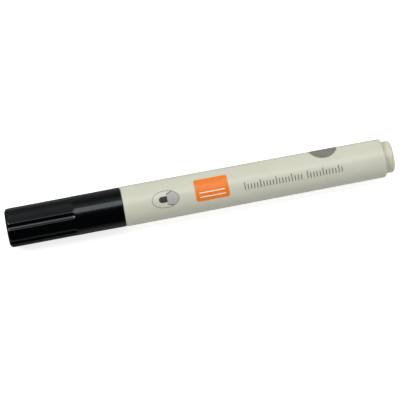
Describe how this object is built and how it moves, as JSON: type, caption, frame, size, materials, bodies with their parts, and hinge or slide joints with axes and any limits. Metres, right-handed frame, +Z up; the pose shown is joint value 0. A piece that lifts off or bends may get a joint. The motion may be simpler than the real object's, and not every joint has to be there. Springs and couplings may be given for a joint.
{
  "type": "whiteboard marker",
  "caption": "Capped whiteboard marker: grooved black push-on cap, round tapered ivory barrel, rounded tail plug, and a bullet nib fed by a fibre reservoir.",
  "frame": {"origin": "on the ground under the middle of the marker's length, where it lies on its side", "axes": "+X from the cap's closed end to the tail, +Z up, +Y across"},
  "size_m": [0.136, 0.014, 0.014],
  "materials": {
    "cap_black": "glossy moulded plastic",
    "liner_natural": "unpigmented, slightly waxy",
    "barrel_ivory": "satin moulded plastic",
    "plug_ivory": "satin moulded plastic",
    "holder_natural": "satin moulded plastic",
    "nib_fibre": "bonded fibre soaked with black ink",
    "core_fibre": "bundled fibre soaked with black ink",
    "wrap_film": "thin clear film",
    "tube_natural": "extruded tube",
    "ink_orange": "printed ink",
    "ink_black": "printed ink",
    "ink_grey": "printed ink",
    "ink_pale": "printed ink"
  },
  "bodies": {
    "pen": {"barrel": "barrel_ivory", "tail_plug": "plug_ivory", "nib_holder": "holder_natural", "nib": "nib_fibre", "reservoir_core": "core_fibre", "reservoir_wrap": "wrap_film", "breather_tube": "tube_natural"},
    "cap": {"cap_shell": "cap_black", "cap_liner": "liner_natural"}
  },
  "joints": [
    {"name": "cap_pull", "type": "slide", "parent": "pen", "child": "cap", "axis": [-1, 0, 0], "range_m": [0, 0.05]}
  ]
}
